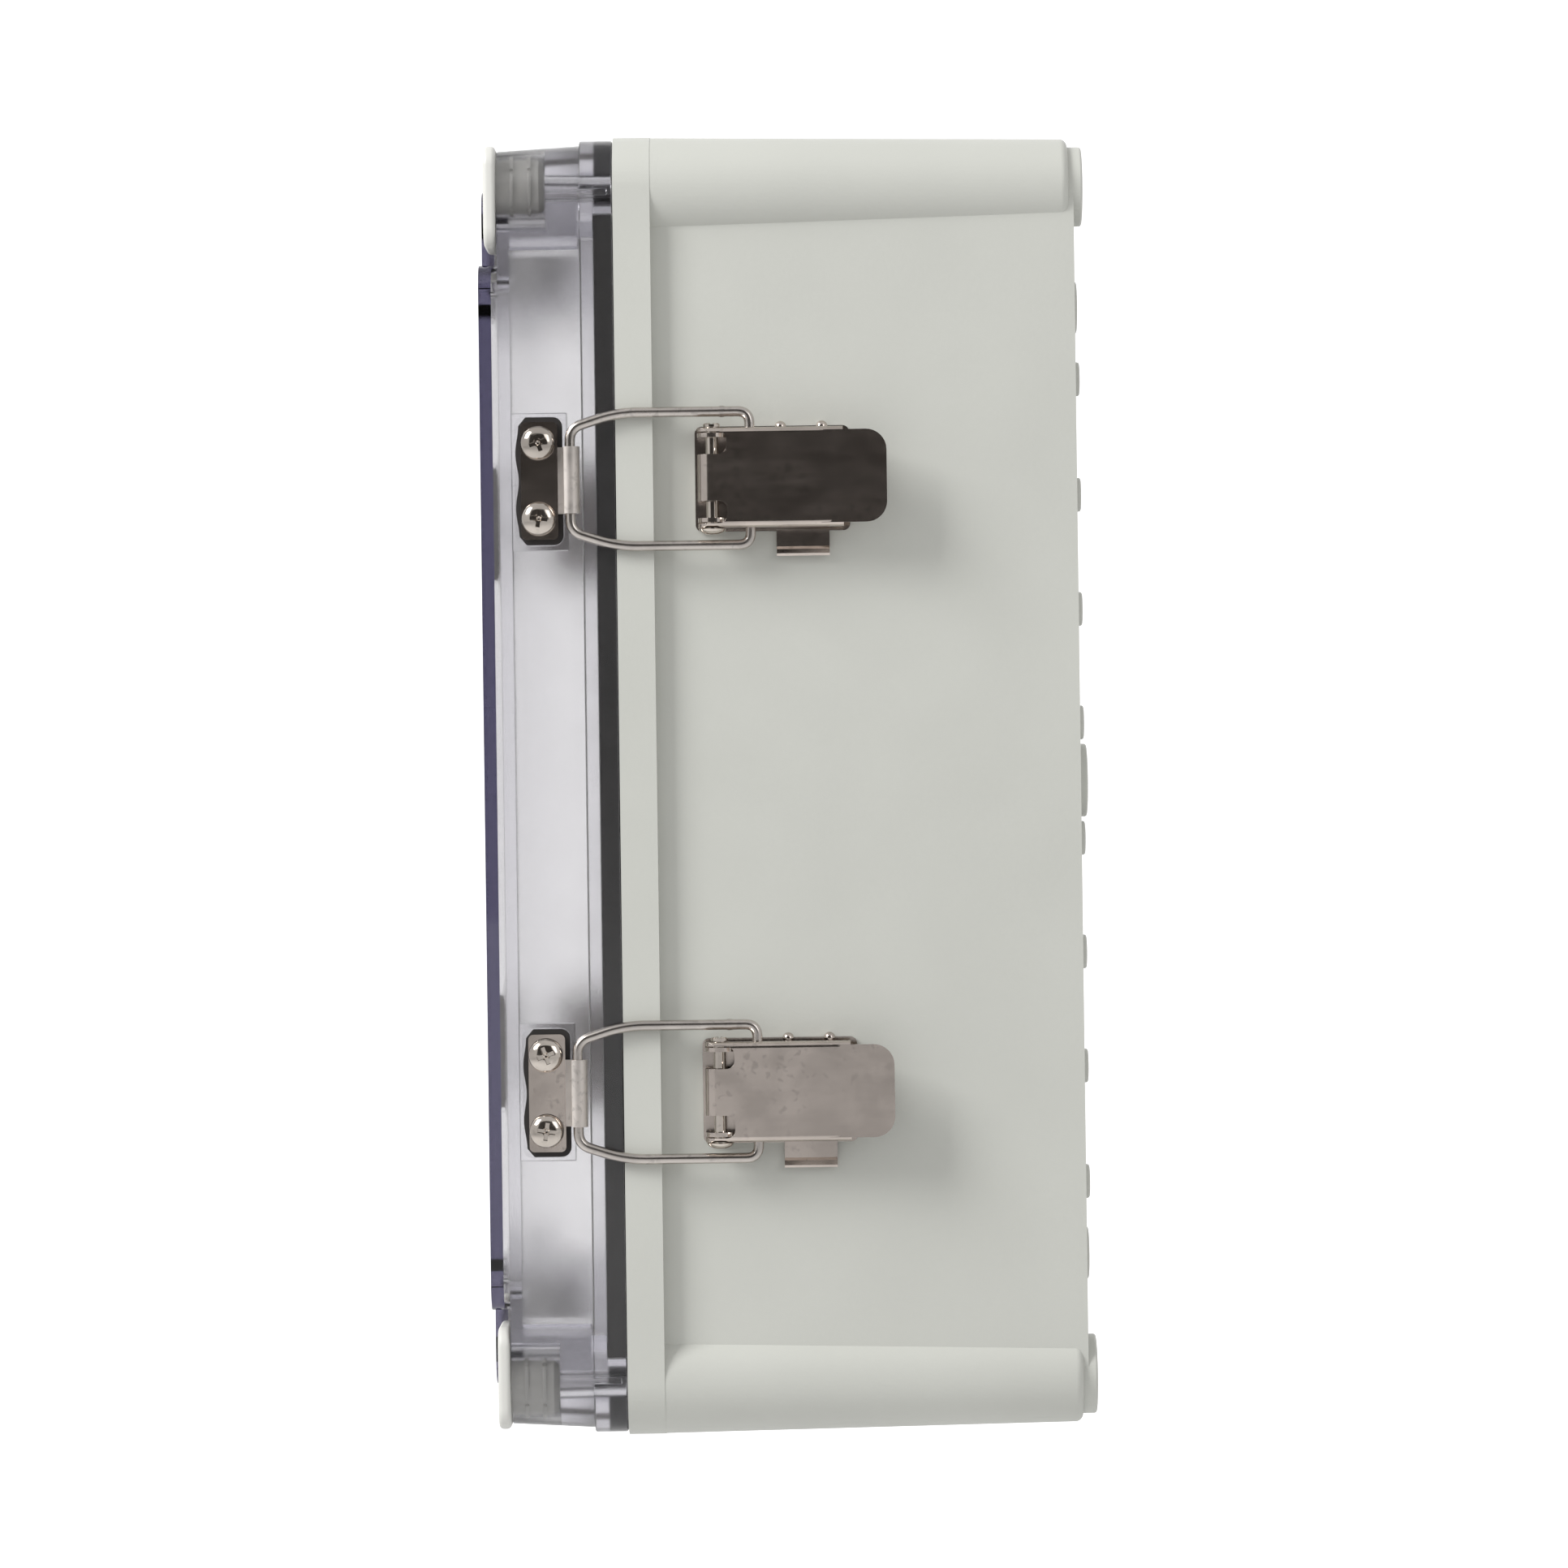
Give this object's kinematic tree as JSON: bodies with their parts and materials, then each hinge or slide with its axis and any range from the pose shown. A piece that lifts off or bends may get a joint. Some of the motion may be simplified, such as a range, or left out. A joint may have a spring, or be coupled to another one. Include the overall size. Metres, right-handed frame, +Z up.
{
  "type": "dc combiner box",
  "caption": "Wall-mounted plastic dc combiner box with a clear side-hinged lid, wire toggle latches, string fuse drawers, breaker and plug-in surge arrester.",
  "frame": {"origin": "centre of the middle pad on the back, on the wall plane", "axes": "+X towards the latch side, +Y into the wall so the lid faces -Y, +Z up"},
  "size_m": [0.296, 0.177, 0.38],
  "materials": {
    "grey_plastic": "satin",
    "clear_plastic": "polished",
    "black_rubber": "matt",
    "plug_plastic": "satin",
    "stainless_steel": "satin",
    "screw_steel": "polished",
    "zinc_steel": "satin",
    "device_plastic": "satin",
    "drawer_plastic": "satin",
    "fuse_ceramic": "glazed",
    "black_plastic": "satin",
    "red_plastic": "satin",
    "copper": "polished",
    "brass": "polished"
  },
  "bodies": {
    "base": {"enclosure_base": "grey_plastic", "hinge_base_leaf_upper": "stainless_steel", "hinge_pin_upper": "stainless_steel", "latch_base_plate_upper": "stainless_steel", "latch_pivot_upper": "stainless_steel", "hinge_base_leaf_lower": "stainless_steel", "hinge_pin_lower": "stainless_steel", "latch_base_plate_lower": "stainless_steel", "latch_pivot_lower": "stainless_steel", "mounting_plate": "zinc_steel", "plate_screw_1": "screw_steel", "plate_screw_2": "screw_steel", "plate_screw_3": "screw_steel", "plate_screw_4": "screw_steel", "din_rail_upper": "zinc_steel", "din_rail_lower": "zinc_steel", "fuse_holder_1": "device_plastic", "fuse_holder_2": "device_plastic", "fuse_holder_3": "device_plastic", "fuse_holder_4": "device_plastic", "breaker_body": "device_plastic", "surge_base": "device_plastic", "positive_comb": "copper", "negative_bar": "brass", "negative_bar_base": "black_plastic", "earth_bar": "brass", "positive_cable": "red_plastic", "negative_cable": "black_plastic"},
    "lid": {"lid_shell": "clear_plastic", "lid_gasket": "black_rubber", "corner_plug_1": "plug_plastic", "corner_plug_2": "plug_plastic", "corner_plug_3": "plug_plastic", "corner_plug_4": "plug_plastic", "hinge_lid_leaf_upper": "stainless_steel", "keeper_upper": "stainless_steel", "keeper_pad_upper": "black_rubber", "keeper_screw_upper_1": "screw_steel", "keeper_screw_upper_2": "screw_steel", "hinge_lid_leaf_lower": "stainless_steel", "keeper_lower": "stainless_steel", "keeper_pad_lower": "black_rubber", "keeper_screw_lower_1": "screw_steel", "keeper_screw_lower_2": "screw_steel"},
    "lever_upper": {"latch_lever_upper": "stainless_steel"},
    "bail_upper": {"latch_bail_upper": "stainless_steel"},
    "lever_lower": {"latch_lever_lower": "stainless_steel"},
    "bail_lower": {"latch_bail_lower": "stainless_steel"},
    "fuse_drawer_1": {"fuse_drawer_1": "drawer_plastic", "fuse_link_1": "fuse_ceramic"},
    "fuse_drawer_2": {"fuse_drawer_2": "drawer_plastic", "fuse_link_2": "fuse_ceramic"},
    "fuse_drawer_3": {"fuse_drawer_3": "drawer_plastic", "fuse_link_3": "fuse_ceramic"},
    "fuse_drawer_4": {"fuse_drawer_4": "drawer_plastic", "fuse_link_4": "fuse_ceramic"},
    "toggle": {"breaker_toggle": "black_plastic"},
    "cartridge_1": {"surge_cartridge_1": "red_plastic"},
    "cartridge_2": {"surge_cartridge_2": "red_plastic"}
  },
  "joints": [
    {"name": "lid_hinge", "type": "hinge", "parent": "base", "child": "lid", "pos_m": [-0.145, -0.137, 0], "axis": [0, 0, -1], "range_deg": [0, 110]},
    {"name": "latch_lever_upper_pivot", "type": "hinge", "parent": "base", "child": "lever_upper", "pos_m": [0.1435, -0.109, 0.089], "axis": [0, 0, -1], "range_deg": [0, 150]},
    {"name": "latch_bail_upper_pivot", "type": "hinge", "parent": "lever_upper", "child": "bail_upper", "pos_m": [0.142, -0.098, 0.089], "axis": [0, 0, -1], "range_deg": [-180, 0]},
    {"name": "latch_lever_lower_pivot", "type": "hinge", "parent": "base", "child": "lever_lower", "pos_m": [0.1435, -0.109, -0.089], "axis": [0, 0, -1], "range_deg": [0, 150]},
    {"name": "latch_bail_lower_pivot", "type": "hinge", "parent": "lever_lower", "child": "bail_lower", "pos_m": [0.142, -0.098, -0.089], "axis": [0, 0, -1], "range_deg": [-180, 0]},
    {"name": "fuse_drawer_1_pivot", "type": "hinge", "parent": "base", "child": "fuse_drawer_1", "pos_m": [-0.09, -0.074, 0.04], "axis": [1, 0, 0], "range_deg": [0, 80]},
    {"name": "fuse_drawer_2_pivot", "type": "hinge", "parent": "base", "child": "fuse_drawer_2", "pos_m": [-0.072, -0.074, 0.04], "axis": [1, 0, 0], "range_deg": [0, 80]},
    {"name": "fuse_drawer_3_pivot", "type": "hinge", "parent": "base", "child": "fuse_drawer_3", "pos_m": [-0.054, -0.074, 0.04], "axis": [1, 0, 0], "range_deg": [0, 80]},
    {"name": "fuse_drawer_4_pivot", "type": "hinge", "parent": "base", "child": "fuse_drawer_4", "pos_m": [-0.036, -0.074, 0.04], "axis": [1, 0, 0], "range_deg": [0, 80]},
    {"name": "breaker_toggle_pivot", "type": "hinge", "parent": "base", "child": "toggle", "pos_m": [-0.072, -0.072, -0.06], "axis": [1, 0, 0], "range_deg": [0, 90]},
    {"name": "surge_cartridge_1_slide", "type": "slide", "parent": "base", "child": "cartridge_1", "axis": [0, -1, 0], "range_m": [0, 0.03]},
    {"name": "surge_cartridge_2_slide", "type": "slide", "parent": "base", "child": "cartridge_2", "axis": [0, -1, 0], "range_m": [0, 0.03]}
  ],
  "couplings": [
    {"joint": "latch_bail_upper_pivot", "follows": "latch_lever_upper_pivot", "ratio": -1.2},
    {"joint": "latch_bail_lower_pivot", "follows": "latch_lever_lower_pivot", "ratio": -1.2}
  ]
}
